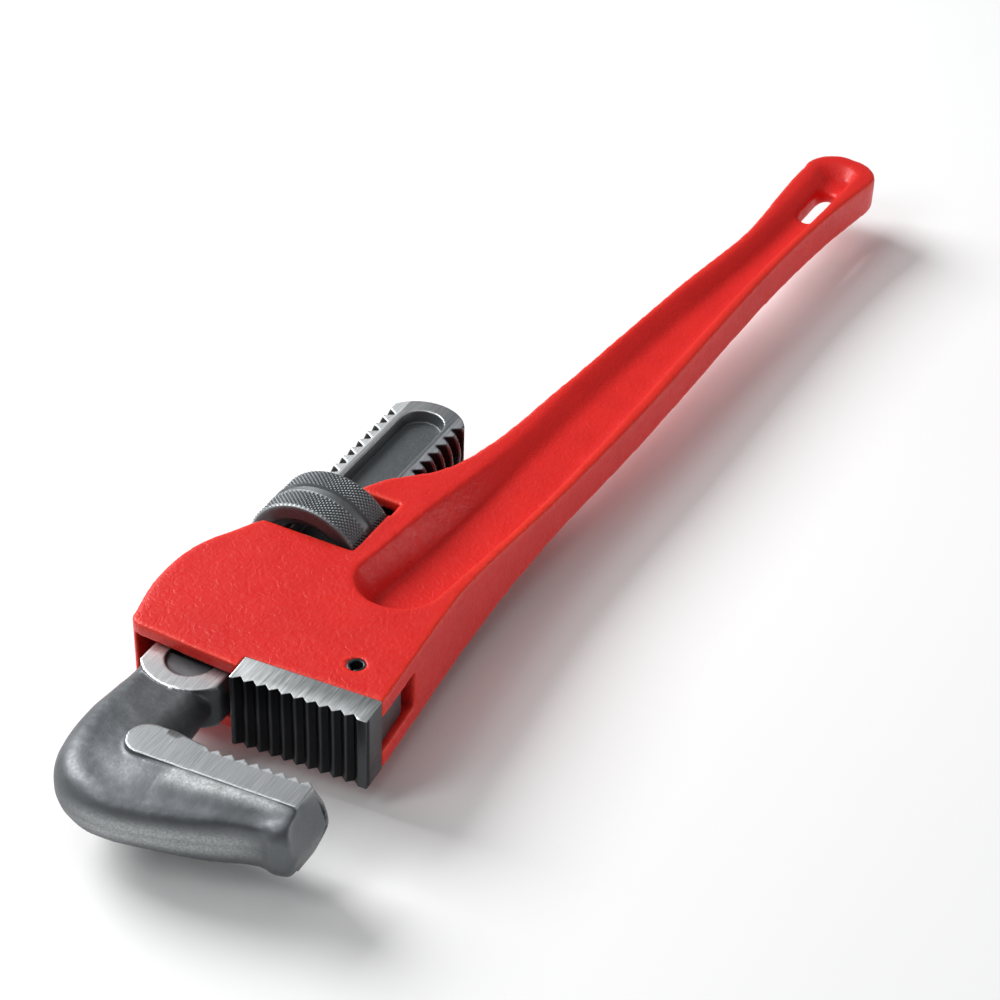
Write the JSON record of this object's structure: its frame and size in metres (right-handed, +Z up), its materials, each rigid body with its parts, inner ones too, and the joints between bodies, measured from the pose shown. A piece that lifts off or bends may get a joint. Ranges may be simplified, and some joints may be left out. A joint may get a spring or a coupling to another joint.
{
  "type": "pipe wrench",
  "caption": "Straight heavy-duty pipe wrench: red cast handle with I-section grip, toothed sliding hook jaw, knurled adjusting nut, pinned heel jaw and sprung rocking head.",
  "frame": {"origin": "centre of the underside of the wrench's bounding box, with the wrench lying on its broad side; the shank's axis is parallel to X, 21.5 mm up", "axes": "+X from the jaws towards the handle's end, along the hook jaw's shank; +Y from the handle towards the shank's back; +Z up, square to the broad sides"},
  "size_m": [0.4564, 0.1016, 0.043],
  "materials": {
    "red_enamel": "gloss red enamel over sand-cast iron",
    "forged_steel": "grey heat-treated forging, ground bright on the flats",
    "ground_steel": "ground alloy steel with dark tooth flanks",
    "pin_steel": "dark spring steel",
    "blackened_steel": "black oxide, worn bright on the knurl",
    "spring_steel": "oiled spring steel"
  },
  "bodies": {
    "handle": {"handle": "red_enamel", "heel_jaw": "ground_steel", "heel_jaw_pin": "pin_steel", "coil_spring": "spring_steel"},
    "rocker": {"flat_spring": "spring_steel"},
    "hook_jaw": {"hook_jaw": "forged_steel"},
    "nut": {"adjusting_nut": "blackened_steel"}
  },
  "joints": [
    {"name": "jaw_rock", "type": "hinge", "parent": "handle", "child": "rocker", "pos_m": [-0.08758, 0.02309, 0.0215], "axis": [0, 0, 1], "range_deg": [-2.5, 0], "stiffness_Nm_per_rad": 20, "springref_deg": 2.86, "deforming": ["coil_spring"]},
    {"name": "hook_slide", "type": "slide", "parent": "rocker", "child": "hook_jaw", "axis": [1, 0, 0], "range_m": [-0.045, 0.0262]},
    {"name": "nut_spin", "type": "hinge", "parent": "rocker", "child": "nut", "pos_m": [-0.08758, 0.02309, 0.0215], "axis": [1, 0, 0], "range_deg": [-1760, 3010]}
  ],
  "couplings": [
    {"joint": "nut_spin", "follows": "hook_slide", "rad_per_m": -1163.6}
  ]
}
